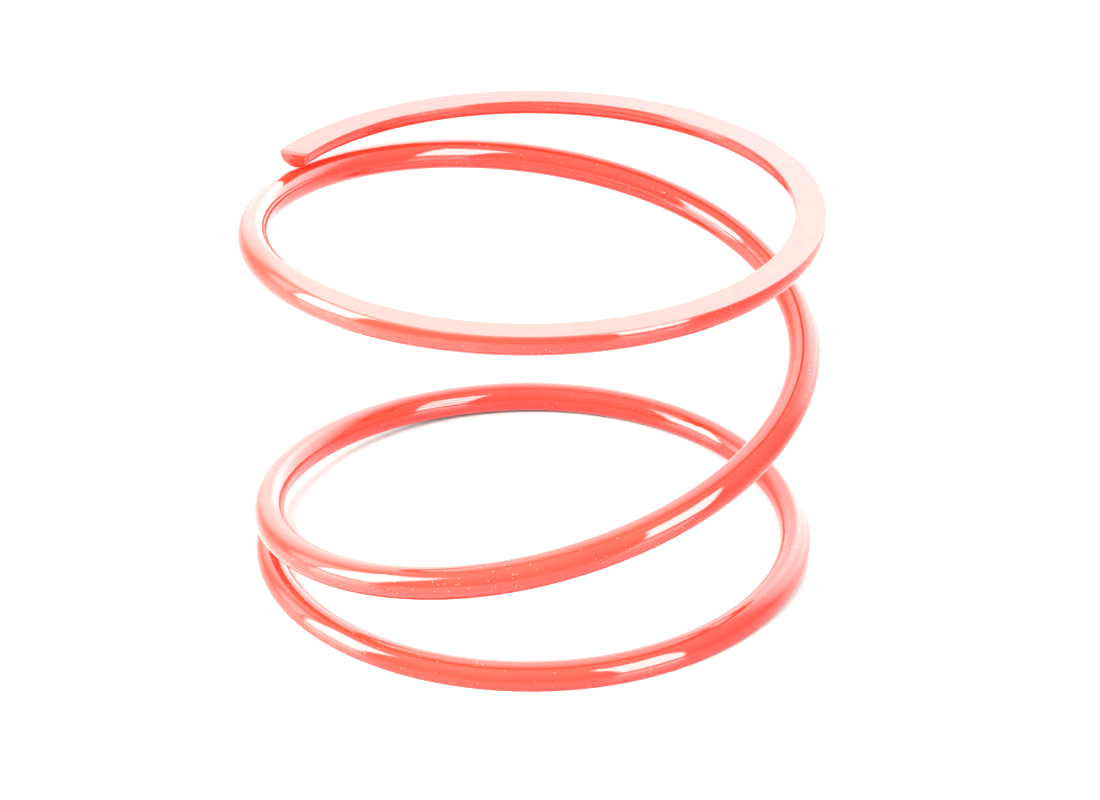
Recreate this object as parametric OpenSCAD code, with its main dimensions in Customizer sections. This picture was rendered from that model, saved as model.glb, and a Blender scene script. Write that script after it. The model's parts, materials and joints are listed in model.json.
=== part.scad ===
// Coil spring: one round wire wound right-handed, with closed ends ground flat.
// The axis is Z, the ground face of the lower end lies on z = 0, and angles along the
// wire are counted from its lower tip. Upright planes cut the wire into a full end turn at
// each end and a row of short active sections between them, so that the spring can close.

/* [Wire and coil] */
// Diameter of the wire
wire_d = 3.75; // [3:0.05:4.5]
// Clear bore through the coils
bore_d = 60; // [48:0.5:72]
// Free height between the two ground faces
free_height = 44.5; // [36:0.5:56]
// Number of turns from tip to tip
turns = 2.94; // [2.8:0.01:3.1]
// Direction of the lower tip around the axis, in degrees
low_tip_angle = 178; // [0:1:359]

/* [Ground ends] */
// Thickness that grinding leaves at each tip
tip_t = 2.1; // [1.7:0.05:2.5]
// Gap between the upper tip and the turn under it
tip_gap = 0.15; // [0.1:0.05:0.4]
// Arc of the ground face on the lower end, in degrees
low_flat = 276; // [240:1:290]
// Climb of the upper end turn where it lies level, in mm per degree
top_lead = 0.003; // [0.001:0.001:0.005]

/* [Pitch] */
// Arc at the lower end over which the wire lies level
low_arc = 282; // [275:1:300]
// Arc over which the pitch opens above it
opening_arc = 175; // [120:1:200]
// Arc of steady pitch
steady_arc = 27; // [0:1:60]
// Arc over which the upper end turn levels out
levelling_arc = 108; // [60:1:140]

/* [Sections] */
// Number of sections that the active turn is cut into
sections = 26; // [16:1:36]
// Gap between neighbouring sections
section_gap = 0.02; // [0.01:0.01:0.1]

/* [Hidden] */
$fn = 64;
wire_r = wire_d / 2;
coil_r = bore_d / 2 + wire_r;
total_arc = turns * 360;
top_start = total_arc - 360;
closing_arc = top_start - low_arc - opening_arc - steady_arc;
section_arc = (top_start - 360) / sections;
trim = section_gap / 2 / coil_r * 180 / PI;

// Heights of the wire's centre where the climb is pinned down
low_tip_z = tip_t - wire_r;
top_tip_z = free_height + wire_r - tip_t;
top_start_z = top_tip_z - wire_d - tip_gap;

// Climb in mm per degree: level at both ends, steepest in between
low_lead = (wire_d - tip_t) / low_flat;
seat_lead = 2 * (wire_d + tip_gap - top_lead * (360 - levelling_arc)) / levelling_arc - top_lead;
main_rise = top_start_z - low_tip_z - low_lead * low_arc;
mid_lead = (main_rise - low_lead * opening_arc / 2 - seat_lead * closing_arc / 2)
    / (opening_arc / 2 + steady_arc + closing_arc / 2);

// Each stretch of wire: its arc, and the climb at its lower and upper end
stretches = [
    [low_arc, low_lead, low_lead],
    [opening_arc, low_lead, mid_lead],
    [steady_arc, mid_lead, mid_lead],
    [closing_arc, mid_lead, seat_lead],
    [levelling_arc, seat_lead, top_lead],
    [360 - levelling_arc, top_lead, top_lead],
];
active_color = [0.93, 0.26, 0.22];
end_color = [0.96, 0.36, 0.31];
ring_points = 24;
ring_step = 6;
section_names = [for (k = [1:sections]) str("active_coil_", k < 10 ? "0" : "", k)];

function arc_before(i) = i == 0 ? 0 : arc_before(i - 1) + stretches[i - 1][0];
function along(a, i) = min(max(a - arc_before(i), 0), stretches[i][0]);
function lead_gain(i) = stretches[i][0] == 0 ? 0 : (stretches[i][2] - stretches[i][1]) / stretches[i][0];
function climb(a, i) = stretches[i][1] * along(a, i) + lead_gain(i) * along(a, i) ^ 2 / 2;

// Height of the wire's centre, and its slope, at angle a along the wire
function wire_z(a, i = 0) = i == len(stretches) ? low_tip_z : climb(a, i) + wire_z(a, i + 1);
function stretch_at(a, i = 0) =
    i == len(stretches) - 1 || a <= arc_before(i + 1) ? i : stretch_at(a, i + 1);
function lead(a) = let (i = stretch_at(a)) stretches[i][1] + lead_gain(i) * along(a, i);
function slope(a) = atan(lead(a) * 180 / PI / coil_r);

// The wire's outline in the upright plane at angle a
function ring(a) = [
    for (j = [0:ring_points - 1])
        let (
            b = (j + 0.5) * 360 / ring_points,
            r = coil_r + wire_r * cos(b),
            z = wire_z(a) + wire_r * sin(b) / cos(slope(a))
        )
        [r * cos(a + low_tip_angle), r * sin(a + low_tip_angle), z]
];

module swept_wire(from, to) {
    steps = ceil((to - from) / ring_step);
    last = steps * ring_points;
    points = [for (i = [0:steps]) each ring(from + (to - from) * i / steps)];
    sides = [
        for (i = [0:steps - 1], j = [0:ring_points - 1])
            let (
                p = i * ring_points + j,
                q = i * ring_points + (j + 1) % ring_points
            )
            each [[p, q, q + ring_points], [p, q + ring_points, p + ring_points]]
    ];
    lower_cap = [for (j = [ring_points - 1:-1:0]) j];
    upper_cap = [for (j = [0:ring_points - 1]) last + j];
    polyhedron(points, concat(sides, [lower_cap, upper_cap]));
}

module half_space(up) {
    size = 4 * (coil_r + free_height);
    translate([-size / 2, -size / 2, up ? 0 : -size]) cube(size);
}

// The arc of a tilted ring that follows the wire through one section
module tilted_arc(middle) {
    tilt = slope(middle);
    bend_r = coil_r / cos(tilt) ^ 2;
    reach = section_arc;
    translate([coil_r - bend_r, 0, 0]) rotate([tilt, 0, 0]) rotate([0, 0, -reach])
        rotate_extrude(angle = 2 * reach) translate([bend_r, 0]) circle(wire_r);
}

module wedge(half_angle) {
    far = 2 * coil_r;
    side = far * sin(half_angle);
    translate([0, 0, -wire_d - coil_r / 2]) linear_extrude(2 * wire_d + coil_r)
        polygon([[0, 0], [far * cos(half_angle), -side], [far * cos(half_angle), side]]);
}

module lower_end_coil() {
    color(end_color) difference() {
        swept_wire(0, 360 - trim);
        half_space(up = false);
    }
}

module upper_end_coil() {
    color(end_color) difference() {
        swept_wire(top_start + trim, total_arc);
        translate([0, 0, free_height]) half_space(up = true);
    }
}

module active_coil(k) {
    middle = 360 + (k + 0.5) * section_arc;
    color(active_color) translate([0, 0, wire_z(middle)]) rotate([0, 0, middle + low_tip_angle])
        intersection() {
            tilted_arc(middle);
            wedge(section_arc / 2 - trim);
        }
}

lower_end_coil();
upper_end_coil();
for (k = [0:sections - 1])
    active_coil(k);
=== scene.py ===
import bpy
import json
import math
import numpy as np
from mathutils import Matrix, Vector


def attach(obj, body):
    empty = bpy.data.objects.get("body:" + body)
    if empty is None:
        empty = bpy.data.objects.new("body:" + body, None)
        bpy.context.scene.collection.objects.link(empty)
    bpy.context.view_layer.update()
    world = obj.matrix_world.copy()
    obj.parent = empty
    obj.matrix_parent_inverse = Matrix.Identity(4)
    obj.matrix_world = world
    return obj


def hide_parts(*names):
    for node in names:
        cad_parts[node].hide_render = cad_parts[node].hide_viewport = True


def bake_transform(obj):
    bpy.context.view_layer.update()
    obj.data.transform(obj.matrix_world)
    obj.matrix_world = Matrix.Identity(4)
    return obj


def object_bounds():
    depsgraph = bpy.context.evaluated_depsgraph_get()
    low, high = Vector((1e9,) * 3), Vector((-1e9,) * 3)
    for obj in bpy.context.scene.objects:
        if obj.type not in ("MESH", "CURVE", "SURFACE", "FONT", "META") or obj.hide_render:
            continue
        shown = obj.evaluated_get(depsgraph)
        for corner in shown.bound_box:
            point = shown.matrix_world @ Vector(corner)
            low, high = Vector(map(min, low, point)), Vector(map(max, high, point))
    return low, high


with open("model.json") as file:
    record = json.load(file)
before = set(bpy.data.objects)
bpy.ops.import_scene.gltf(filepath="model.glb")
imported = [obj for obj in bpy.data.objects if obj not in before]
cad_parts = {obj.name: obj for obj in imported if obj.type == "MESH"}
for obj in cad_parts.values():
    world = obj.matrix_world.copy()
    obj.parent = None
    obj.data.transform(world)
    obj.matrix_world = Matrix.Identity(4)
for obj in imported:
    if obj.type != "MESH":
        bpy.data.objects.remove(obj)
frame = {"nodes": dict(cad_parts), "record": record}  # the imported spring: bodies, nodes, joints and record
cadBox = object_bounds()
mm = 0.001
samePlace = 0.001 * mm  # two places closer than this count as one


def linearColour(hexCode):
    channels = [int(hexCode[i:i + 2], 16) / 255 for i in (0, 2, 4)]
    return [c / 12.92 if c <= 0.04045 else ((c + 0.055) / 1.055) ** 2.4 for c in channels] + [1.0]


def addNode(tree, kind, inputs=None, **settings):
    node = tree.nodes.new(kind)
    for setting, value in settings.items():
        setattr(node, setting, value)
    for socket, value in (inputs or {}).items():
        if isinstance(value, bpy.types.NodeSocket):
            tree.links.new(value, node.inputs[socket])
        else:
            node.inputs[socket].default_value = value
    return node


def selectOnly(piece):
    bpy.ops.object.select_all(action="DESELECT")
    piece.select_set(True)
    bpy.context.view_layer.objects.active = piece


def selectEdges(piece, test):
    # picks edges by the places of their two ends, then goes into edit mode
    bpy.ops.object.mode_set(mode="EDIT")
    bpy.ops.mesh.select_mode(type="EDGE")
    bpy.ops.mesh.select_all(action="DESELECT")
    bpy.ops.object.mode_set(mode="OBJECT")
    mesh = piece.data
    for edge in mesh.edges:
        first, second = (mesh.vertices[i].co for i in edge.vertices)
        edge.select = test(first, second)
    bpy.ops.object.mode_set(mode="EDIT")


# the wire's path: its sizes come from the frame, its turns and arcs are the part's own
activeNodes = sorted(n for n in frame["nodes"] if n.startswith("active_coil_"))
mounts = {m["name"]: m for m in frame["record"]["mounts"]}
boreRadius = mounts["lower_pilot"]["dims"]["r_mm"] * mm
outerRadius = (cadBox[1].x - cadBox[0].x) / 2
wireRadius = (outerRadius - boreRadius) / 2
coilRadius = boreRadius + wireRadius
lowFace = cadBox[0].z
topFace = cadBox[1].z

coil = {
    "turns": 2.94,
    "lowTipAngle": 178,       # direction of the lower tip around the axis
    "tipThickness": 2.1 * mm,  # what grinding leaves at each tip
    "tipGap": 0.15 * mm,      # upper tip over the turn under it
    "lowFlatArc": 276,        # arc of the lower ground face
    "topLead": 0.003 * mm,    # climb per degree where the upper end lies level
    "lowArc": 282,            # arcs of the stretches that the pitch is made of
    "openingArc": 175,
    "steadyArc": 27,
    "levellingArc": 108,
}

wireDiameter = 2 * wireRadius
totalArc = coil["turns"] * 360
topStart = totalArc - 360
sectionArc = (topStart - 360) / len(activeNodes)
closingArc = topStart - coil["lowArc"] - coil["openingArc"] - coil["steadyArc"]
lowTipHeight = lowFace + coil["tipThickness"] - wireRadius
topTipHeight = topFace - coil["tipThickness"] + wireRadius
topStartHeight = topTipHeight - wireDiameter - coil["tipGap"]
levelArc = 360 - coil["levellingArc"]

# climb per degree: level at both ends, steepest in between
lowLead = (wireDiameter - coil["tipThickness"]) / coil["lowFlatArc"]
seatRise = wireDiameter + coil["tipGap"] - coil["topLead"] * levelArc
seatLead = 2 * seatRise / coil["levellingArc"] - coil["topLead"]
mainRise = topStartHeight - lowTipHeight - lowLead * coil["lowArc"]
middleArc = coil["openingArc"] / 2 + coil["steadyArc"] + closingArc / 2
middleLead = (mainRise - lowLead * coil["openingArc"] / 2 - seatLead * closingArc / 2) / middleArc
stretches = [
    (coil["lowArc"], lowLead, lowLead),
    (coil["openingArc"], lowLead, middleLead),
    (coil["steadyArc"], middleLead, middleLead),
    (closingArc, middleLead, seatLead),
    (coil["levellingArc"], seatLead, coil["topLead"]),
    (levelArc, coil["topLead"], coil["topLead"]),
]


def wireHeight(angle):
    height = np.full_like(angle, lowTipHeight)
    before = 0
    for arc, leadIn, leadOut in stretches:
        along = np.clip(angle - before, 0, arc)
        height += leadIn * along + (leadOut - leadIn) / arc * along ** 2 / 2
        before += arc
    return height


def wireSlope(angle):
    ends = np.cumsum([0] + [arc for arc, leadIn, leadOut in stretches])
    leads = [stretches[0][1]] + [leadOut for arc, leadIn, leadOut in stretches]
    return np.arctan(np.interp(angle, ends, leads) * 180 / math.pi / coilRadius)


# a long lens, a little above the spring
camera = {
    "lens": 90.3,
    "sensor": 36,
    "nearClip": 10 * mm,
    "distance": 328 * mm,
    "turn": 2.49,         # degrees round from the front
    "elevation": 28.7,
    "aim": (2.08 * mm, 0.09 * mm, 18.74 * mm),
}


def addCamera():
    turn, elevation = math.radians(camera["turn"]), math.radians(camera["elevation"])
    reach = camera["distance"] * math.cos(elevation)
    place = (
        camera["aim"][0] + reach * math.sin(turn),
        camera["aim"][1] - reach * math.cos(turn),
        camera["aim"][2] + camera["distance"] * math.sin(elevation),
    )
    bpy.ops.object.camera_add(location=place, rotation=(math.pi / 2 - elevation, 0, turn))
    view = bpy.context.object
    view.data.lens = camera["lens"]
    view.data.sensor_width = camera["sensor"]
    view.data.clip_start = camera["nearClip"]
    bpy.context.scene.camera = view


addCamera()
print("camera set")

# pale table, two softboxes, and a room whose far walls glow
studio = {
    "roomGlow": 1.15,
    "ceilingGlow": 1.9,
    "glowStart": 0.2,  # sine of the elevation at which the glow starts to grow
    "glowEnd": 0.9,
    "tableColour": "969593",
    "tableRoughness": 0.18,
    "tableSize": 6.0,
    # softboxes: azimuth, elevation, width and height in degrees, distance, glow, share that fades out
    "softboxes": {
        "leftSoftbox": (192, 22, 35, 50, 0.45, 19, 0.16),
        "rightSoftbox": (317, 27, 30, 50, 0.7, 19, 0.1),
    },
    # lit walls: azimuth, elevation, radius of the even middle, radius of the edge, added glow
    "walls": {
        "backRight": (54, 17, 12, 40, 4.8),
        "back": (100, 32, 12, 46, 3.0),
        "backLeft": (170, 18, 4, 22, 4.5),
    },
    "tableFill": {"place": (-0.08, -0.11, 0.14), "size": 0.12, "power": 2.4},
}


def direction(azimuth, elevation):
    turn, lift = math.radians(azimuth), math.radians(elevation)
    return (math.cos(lift) * math.cos(turn), math.cos(lift) * math.sin(turn), math.sin(lift))


def softboxMaterial(name, glow, fade):
    material = bpy.data.materials.new(name)
    material.use_nodes = True
    tree = material.node_tree
    tree.nodes.clear()
    uv = addNode(tree, "ShaderNodeTexCoord").outputs["UV"]
    centred = addNode(tree, "ShaderNodeVectorMath", {0: uv, 1: (0.5, 0.5, 0)}, operation="SUBTRACT")
    spread = addNode(tree, "ShaderNodeVectorMath", {0: centred.outputs[0]}, operation="ABSOLUTE")
    sides = addNode(tree, "ShaderNodeSeparateXYZ", {0: spread.outputs[0]})
    shares = [
        addNode(tree, "ShaderNodeMapRange", {
            "Value": sides.outputs[side], "From Min": 0.5, "From Max": 0.5 - fade,
        }, interpolation_type="SMOOTHSTEP").outputs[0]
        for side in ("X", "Y")
    ]
    share = addNode(tree, "ShaderNodeMath", {0: shares[0], 1: shares[1]}, operation="MULTIPLY")
    strength = addNode(tree, "ShaderNodeMapRange", {
        "Value": share.outputs[0], "To Min": studio["roomGlow"], "To Max": glow,
    })
    light = addNode(tree, "ShaderNodeEmission", {"Strength": strength.outputs[0]})
    addNode(tree, "ShaderNodeOutputMaterial", {"Surface": light.outputs[0]})
    return material


def addSoftbox(name, azimuth, elevation, width, height, reach, glow, fade):
    towards = direction(azimuth, elevation)
    place = (towards[0] * reach, towards[1] * reach, topFace / 2 + towards[2] * reach)
    facing = (math.pi / 2 + math.radians(elevation), 0, math.radians(azimuth - 90))
    bpy.ops.mesh.primitive_plane_add(size=1, location=place, rotation=facing)
    panel = bpy.context.object
    panel.name = name
    panel.scale = [2 * reach * math.tan(math.radians(side) / 2) for side in (width, height)] + [1]
    panel.data.materials.append(softboxMaterial(name, glow, fade))
    panel.visible_camera = False


def addTable():
    bpy.ops.mesh.primitive_plane_add(size=studio["tableSize"], location=(0, 0, lowFace))
    table = bpy.context.object
    table.name = "table"
    material = bpy.data.materials.new("paleLaminate")
    material.use_nodes = True
    shader = material.node_tree.nodes["Principled BSDF"]
    shader.inputs["Base Color"].default_value = linearColour(studio["tableColour"])
    shader.inputs["Roughness"].default_value = studio["tableRoughness"]
    table.data.materials.append(material)
    fill = studio["tableFill"]
    bpy.ops.object.light_add(type="AREA", location=fill["place"])
    lamp = bpy.context.object
    lamp.name = "tableFill"
    lamp.data.size = fill["size"]
    lamp.data.energy = fill["power"]
    lamp.visible_glossy = False
    lamp.visible_camera = False


def addRoom():
    world = bpy.data.worlds.new("paleRoom")
    world.use_nodes = True
    tree = world.node_tree
    way = addNode(tree, "ShaderNodeTexCoord").outputs["Generated"]
    lift = addNode(tree, "ShaderNodeSeparateXYZ", {0: way}).outputs["Z"]
    glow = addNode(tree, "ShaderNodeMapRange", {
        "Value": lift, "From Min": studio["glowStart"], "From Max": studio["glowEnd"],
        "To Min": studio["roomGlow"], "To Max": studio["ceilingGlow"],
    })
    for azimuth, elevation, core, edge, added in studio["walls"].values():
        nearness = addNode(tree, "ShaderNodeVectorMath", {
            0: way, 1: direction(azimuth, elevation),
        }, operation="DOT_PRODUCT")
        wall = addNode(tree, "ShaderNodeMapRange", {
            "Value": nearness.outputs["Value"], "To Max": added,
            "From Min": math.cos(math.radians(edge)), "From Max": math.cos(math.radians(core)),
        }, interpolation_type="SMOOTHSTEP")
        glow = addNode(tree, "ShaderNodeMath", {0: glow.outputs[0], 1: wall.outputs[0]}, operation="ADD")
    tree.links.new(glow.outputs[0], tree.nodes["Background"].inputs["Strength"])
    tree.nodes["Background"].inputs["Color"].default_value = (1, 1, 1, 1)
    bpy.context.scene.world = world


addTable()
addRoom()
for softboxName, softboxValues in studio["softboxes"].items():
    addSoftbox(softboxName, *softboxValues)
bpy.context.scene.view_settings.view_transform = "Standard"
print("studio set")

# Gloss red powder coat, sprayed on steel wire by electrostatics and baked. It gives the eye a
# hard bright gloss with a faint orange peel drawn out along the wire. Over the ground faces the
# scored steel under it makes it satin, with faint streaks, and their red is painted paler: painted
# sheen of the bright room on the level faces. Dust and lint lie on it.
coat = {
    "red": "C62316",
    "deepRed": "B81A11",
    # the two ground-face reds are paler than the coat's red: painted sheen of the bright room on the level
    # faces
    "groundRed": "CA3933",
    "streakRed": "BC2C27",
    "dust": "E2AFA4",
    "gloss": 0.05,             # roughness; the same for the two below
    "glossRange": (0.8, 1.4),  # factors on the gloss, least and most, over the drifts
    "groundGloss": 0.3,
    "streakGloss": 0.4,
    "index": 1.52,
    "driftWidth": 9 * mm,      # slow change of colour and gloss
    "peelWidth": 1.5 * mm,     # spacing of the orange peel across the wire
    "peelDepth": 0.03 * mm,
    "peelStretch": 2.5,        # the peel is this much longer along the wire
    "streakWidth": 0.22 * mm,  # scoring of the wheel, drawn coarser than grit so that it shows
    "streakStretch": 14,
    "dustSpacing": 0.36 * mm,
    "dustSize": 0.045 * mm,
    "dustCore": 0.4,           # part of a speck's radius that is solid
    "dustPatch": 11 * mm,      # dust gathers in patches
    "patchEdge": (0.42, 0.62),  # the pattern's values between which a patch thickens
    "dustShare": (0.03, 0.5),  # share of the cells with a speck, off a patch and on it
    "dirtRoughness": 0.6,
    "lintSpacing": 2.6 * mm,
    "lintWidth": 0.045 * mm,
    "lintStretch": 9,
    "lintShare": 0.35,
    "lintTurn": (0.5, 0.2, 0.8),
}


def specks(tree, place, spacing, size, kept, stretch=1, turn=(0, 0, 0)):
    # small spots or hairs, one in some of the cells of a pattern of the given spacing
    mapping = addNode(tree, "ShaderNodeMapping", {
        "Vector": place, "Rotation": turn, "Scale": (stretch, 1, 1),
    }, vector_type="TEXTURE")
    cells = addNode(tree, "ShaderNodeTexVoronoi", {"Vector": mapping.outputs[0], "Scale": 1 / spacing})
    spot = addNode(tree, "ShaderNodeMapRange", {
        "Value": cells.outputs["Distance"],
        "From Min": size / spacing, "From Max": coat["dustCore"] * size / spacing,
    })
    chance = addNode(tree, "ShaderNodeSeparateColor", {0: cells.outputs["Color"]})
    chosen = addNode(tree, "ShaderNodeMath", {0: chance.outputs[0], 1: kept}, operation="LESS_THAN")
    return addNode(tree, "ShaderNodeMath", {0: spot.outputs[0], 1: chosen.outputs[0]}, operation="MULTIPLY")


def powderCoat(name, hasGroundFace):
    material = bpy.data.materials.new(name)
    material.use_nodes = True
    tree = material.node_tree
    shader = tree.nodes["Principled BSDF"]
    shader.inputs["IOR"].default_value = coat["index"]
    place = addNode(tree, "ShaderNodeAttribute", attribute_name="wirePlace").outputs["Vector"]

    # two close reds in slow drifts, and the gloss with them
    drift = addNode(tree, "ShaderNodeTexNoise", {
        "Vector": place, "Scale": 1 / coat["driftWidth"], "Detail": 3.0,
    }).outputs[0]
    colour = addNode(tree, "ShaderNodeMix", {
        "Factor": drift, "A": linearColour(coat["red"]), "B": linearColour(coat["deepRed"]),
    }, data_type="RGBA").outputs[2]
    leastGloss, mostGloss = coat["glossRange"]
    roughness = addNode(tree, "ShaderNodeMapRange", {
        "Value": drift, "To Min": coat["gloss"] * leastGloss, "To Max": coat["gloss"] * mostGloss,
    }).outputs[0]
    drawn = addNode(tree, "ShaderNodeMapping", {
        "Vector": place, "Scale": (1 / coat["peelStretch"], 1, 1),
    })
    peel = addNode(tree, "ShaderNodeTexNoise", {
        "Vector": drawn.outputs[0], "Scale": 1 / coat["peelWidth"], "Detail": 2.0, "Roughness": 0.35,
    })
    bump = addNode(tree, "ShaderNodeBump", {
        "Height": peel.outputs[0], "Distance": coat["peelDepth"], "Strength": 1.0,
    })

    if hasGroundFace:
        ground = addNode(tree, "ShaderNodeAttribute", attribute_name="groundFace").outputs["Fac"]
        scored = addNode(tree, "ShaderNodeMapping", {
            "Vector": place, "Scale": (1 / coat["streakStretch"], 1, 1),
        })
        streaks = addNode(tree, "ShaderNodeTexNoise", {
            "Vector": scored.outputs[0], "Scale": 1 / coat["streakWidth"], "Detail": 2.0,
        }).outputs[0]
        # the ground faces' paler reds: painted sheen of the room on the level faces, with the wheel's
        # streaks through it
        groundColourWithPaintedSheen = addNode(tree, "ShaderNodeMix", {
            "Factor": streaks, "A": linearColour(coat["groundRed"]), "B": linearColour(coat["streakRed"]),
        }, data_type="RGBA").outputs[2]
        colour = addNode(tree, "ShaderNodeMix", {
            "Factor": ground, "A": colour, "B": groundColourWithPaintedSheen,
        }, data_type="RGBA").outputs[2]
        groundRoughness = addNode(tree, "ShaderNodeMapRange", {
            "Value": streaks, "To Min": coat["groundGloss"], "To Max": coat["streakGloss"],
        }).outputs[0]
        roughness = addNode(tree, "ShaderNodeMapRange", {
            "Value": ground, "To Min": roughness, "To Max": groundRoughness,
        }).outputs[0]

    # dust in patches, and hairs of lint across it
    patch = addNode(tree, "ShaderNodeTexNoise", {"Vector": place, "Scale": 1 / coat["dustPatch"]})
    dusty = addNode(tree, "ShaderNodeMapRange", {
        "Value": patch.outputs[0],
        "From Min": coat["patchEdge"][0], "From Max": coat["patchEdge"][1],
        "To Min": coat["dustShare"][0], "To Max": coat["dustShare"][1],
    }).outputs[0]
    dust = specks(tree, place, coat["dustSpacing"], coat["dustSize"], dusty)
    lint = specks(
        tree, place, coat["lintSpacing"], coat["lintWidth"],
        coat["lintShare"], coat["lintStretch"], coat["lintTurn"],
    )
    dirt = addNode(tree, "ShaderNodeMath", {0: dust.outputs[0], 1: lint.outputs[0]}, operation="MAXIMUM")
    colour = addNode(tree, "ShaderNodeMix", {
        "Factor": dirt.outputs[0], "A": colour, "B": linearColour(coat["dust"]),
    }, data_type="RGBA").outputs[2]
    roughness = addNode(tree, "ShaderNodeMapRange", {
        "Value": dirt.outputs[0], "To Min": roughness, "To Max": coat["dirtRoughness"],
    }).outputs[0]
    tree.links.new(colour, shader.inputs["Base Color"])
    tree.links.new(roughness, shader.inputs["Roughness"])
    tree.links.new(bump.outputs[0], shader.inputs["Normal"])
    return material


activeCoat = powderCoat("glossRedPowderCoat", False)
endCoat = powderCoat("glossRedPowderCoatGround", True)

wire = {
    "sides": 96,
    "ringArc": 1.0,           # degrees between rings
    "ringsAtOnce": 15,        # rings in each stretch of the first round of cuts
    "pieceLetters": "ab",     # one piece for each letter, to every section
    "smoothAngle": 40,        # degrees; sharper edges stay hard
    "tipEdge": 0.6 * mm,      # rounding of the coated rim of each tip
    "tipSegments": 8,
    "tipCrown": 0.02 * mm,    # how far the first ring of the cut face bulges; later ones less
    "crownRings": 3,
    "crownInset": 0.3,        # width of each ring, in wire radii
    "tipTurn": 10,            # degrees by which the cut is off square, its inner side shorter
    "tipReach": 3 * mm,       # length of wire over which the cut's turn fades
    "groundEdge": 0.16 * mm,  # half width of the rounding along the ground face
    "cornerEdge": 0.28 * mm,  # rounding between the ground face and the cut
}


def cutLong(piece, length, cuts):
    selectEdges(piece, lambda a, b: abs(a.x - b.x) > 0.5 * length)
    bpy.ops.mesh.subdivide(number_cuts=cuts)
    bpy.ops.object.mode_set(mode="OBJECT")


def addStock(name, arc):
    # straight wire along X, as long as the arc, with rings for every step of it
    length = math.radians(arc) * coilRadius
    bpy.ops.object.select_all(action="DESELECT")
    bpy.ops.mesh.primitive_cylinder_add(
        vertices=wire["sides"], radius=wireRadius, depth=length,
        location=(length / 2, 0, 0), rotation=(0, math.pi / 2, 0),
    )
    piece = bpy.context.object
    piece.name = name
    piece.data.name = name
    bpy.ops.object.transform_apply(location=True, rotation=True, scale=True)
    rings = math.ceil(arc / wire["ringArc"])
    # in two rounds, because one round makes 100 cuts at most
    coarse = max(1, rings // wire["ringsAtOnce"])
    if coarse > 1:
        cutLong(piece, length, coarse - 1)
    cutLong(piece, length / coarse, math.ceil(rings / coarse) - 1)
    return piece, length


def roundTip(piece, tipX, outward):
    # rounds the rim of the cut face, then crowns the face a little
    selectEdges(piece, lambda a, b: abs(a.x - tipX) < samePlace and abs(b.x - tipX) < samePlace)
    bpy.ops.mesh.bevel(offset=wire["tipEdge"], segments=wire["tipSegments"], profile=0.5, affect="EDGES")
    bpy.ops.mesh.select_all(action="DESELECT")
    bpy.ops.mesh.select_mode(type="FACE")
    bpy.ops.object.mode_set(mode="OBJECT")
    for face in piece.data.polygons:
        face.select = len(face.vertices) > 4 and abs(face.center.x - tipX) < samePlace
    bpy.ops.object.mode_set(mode="EDIT")
    for step in range(wire["crownRings"]):
        bpy.ops.mesh.inset(thickness=wire["crownInset"] * wireRadius)
        bpy.ops.transform.translate(value=(outward * wire["tipCrown"] / (1 + step), 0, 0))
    bpy.ops.object.mode_set(mode="OBJECT")


def pressFlat(height, tipDistance, plane, side):
    # the grinding wheel: heights past the plane come back to it, with a small rounding
    edge = wire["cornerEdge"]
    near = np.clip(edge - tipDistance, 0, edge)
    drop = edge - np.sqrt(edge ** 2 - near ** 2)
    half = wire["groundEdge"]
    past = side * (height - plane) + drop
    share = np.clip((past + half) / (2 * half), 0, 1)
    pressed = np.where(past > half, 0, past - half * share ** 2)
    return plane + side * (pressed - drop), share


def placePoints(points, length, fromArc, toArc, plane=None, side=0):
    # straight stock to coil: x runs along the wire, -y points outwards, z stays up
    tipDistance = length - points[:, 0] if side > 0 else points[:, 0]
    fade = np.clip(1 - tipDistance / wire["tipReach"], 0, 1) ** 2
    cutSlope = math.tan(math.radians(wire["tipTurn"]))
    along = points[:, 0] - side * fade * (points[:, 1] + wireRadius) * cutSlope
    angle = fromArc + along / length * (toArc - fromArc)
    azimuth = np.radians(angle + coil["lowTipAngle"])
    reach = coilRadius - points[:, 1]
    height = wireHeight(angle) + points[:, 2] / np.cos(wireSlope(angle))
    share = np.zeros_like(height)
    if side:
        height, share = pressFlat(height, tipDistance, plane, side)
    return np.stack([reach * np.cos(azimuth), reach * np.sin(azimuth), height], 1), share


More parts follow.
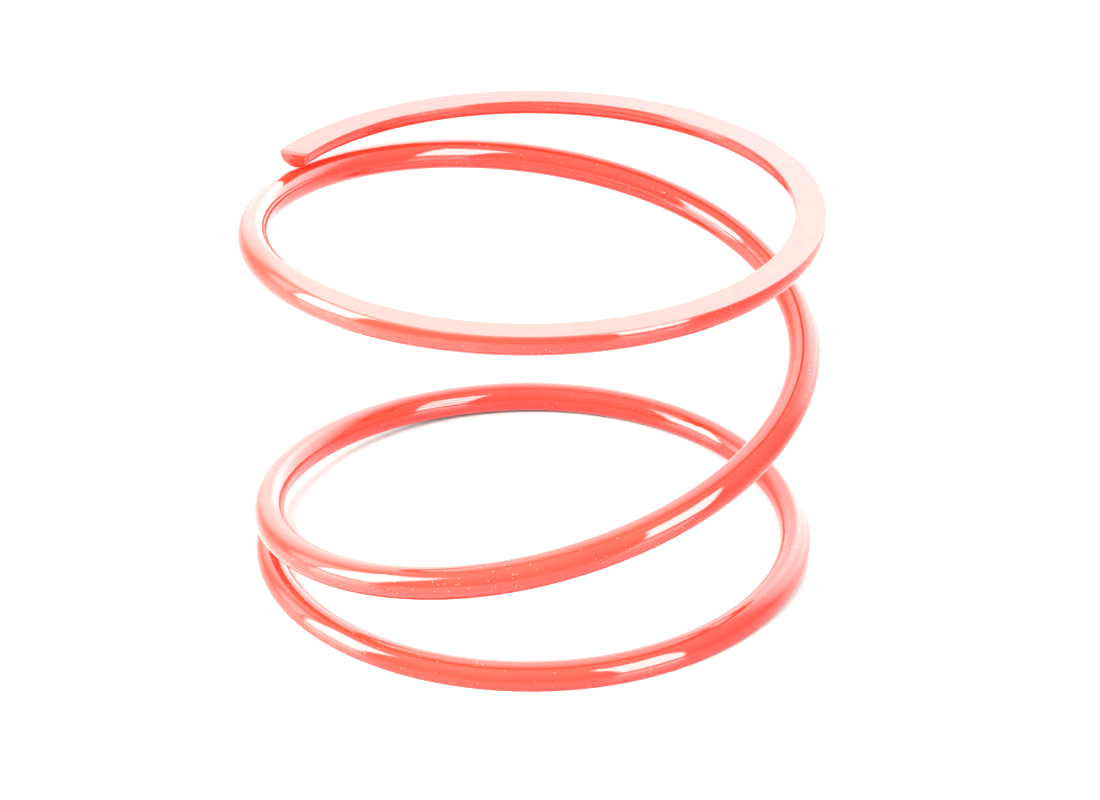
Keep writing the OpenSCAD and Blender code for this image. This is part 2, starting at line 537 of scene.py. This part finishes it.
def windWire(piece, length, *route):
    mesh = piece.data
    points = np.zeros(len(mesh.vertices) * 3)
    mesh.vertices.foreach_get("co", points)
    points = points.reshape(-1, 3)
    wound, share = placePoints(points, length, *route)

    # normals of the true round surface, so that light runs on over every joint between pieces
    step = 0.002 * mm
    slopes = []
    for axis in np.eye(3) * step:
        ahead, behind = (placePoints(points + way * axis, length, *route)[0] for way in (1, -1))
        slopes.append((ahead - behind) / (2 * step))
    out = points[:, 1:] / wireRadius
    normals = out[:, :1] * np.cross(slopes[2], slopes[0]) + out[:, 1:] * np.cross(slopes[0], slopes[1])
    onWire = np.abs(np.hypot(points[:, 1], points[:, 2]) / wireRadius - 1) < 1e-4
    normals *= (onWire / np.maximum(np.linalg.norm(normals, axis=1), 1e-9))[:, None]

    mesh.vertices.foreach_set("co", wound.ravel())
    points[:, 0] += math.radians(route[0]) * coilRadius
    wirePlace = mesh.attributes.new("wirePlace", "FLOAT_VECTOR", "POINT")
    wirePlace.data.foreach_set("vector", points.ravel())
    ground = mesh.attributes.new("groundFace", "FLOAT", "POINT")
    ground.data.foreach_set("value", share)
    mesh.update()
    selectOnly(piece)
    bpy.ops.object.shade_smooth_by_angle(angle=math.radians(wire["smoothAngle"]))
    mesh.normals_split_custom_set_from_vertices(normals.tolist())


def addEndTurn(node, body, fromArc, toArc, plane, side):
    piece, length = addStock(node.replace("coil", "turn"), toArc - fromArc)
    tipX = length if side > 0 else 0
    roundTip(piece, tipX, side)
    windWire(piece, length, fromArc, toArc, plane, side)
    piece.data.materials.append(endCoat)
    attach(piece, body)
    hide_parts(node)


addEndTurn("lower_end_coil", "lower_end", 0, 360, lowFace, -1)
addEndTurn("upper_end_coil", "upper_end", topStart, totalArc, topFace, 1)
print("end turns wound and ground")


def addActiveTurn():
    # short pieces, two to every section of the active turn, each wound in its place along the coil
    pieceArc = sectionArc / len(wire["pieceLetters"])
    stock, length = addStock("activeStock", pieceArc)
    for k, node in enumerate(activeNodes):
        for part, letter in enumerate(wire["pieceLetters"]):
            fromArc = 360 + k * sectionArc + part * pieceArc
            toArc = fromArc + pieceArc
            selectOnly(stock)
            bpy.ops.object.duplicate()
            piece = bpy.context.object
            piece.name = node.replace("coil", "turn") + letter
            piece.data.name = piece.name
            windWire(piece, length, fromArc, toArc)
            piece.data.materials.append(activeCoat)
            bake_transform(piece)
            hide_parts(node)
    bpy.data.objects.remove(stock)


addActiveTurn()
print("active turn wound")
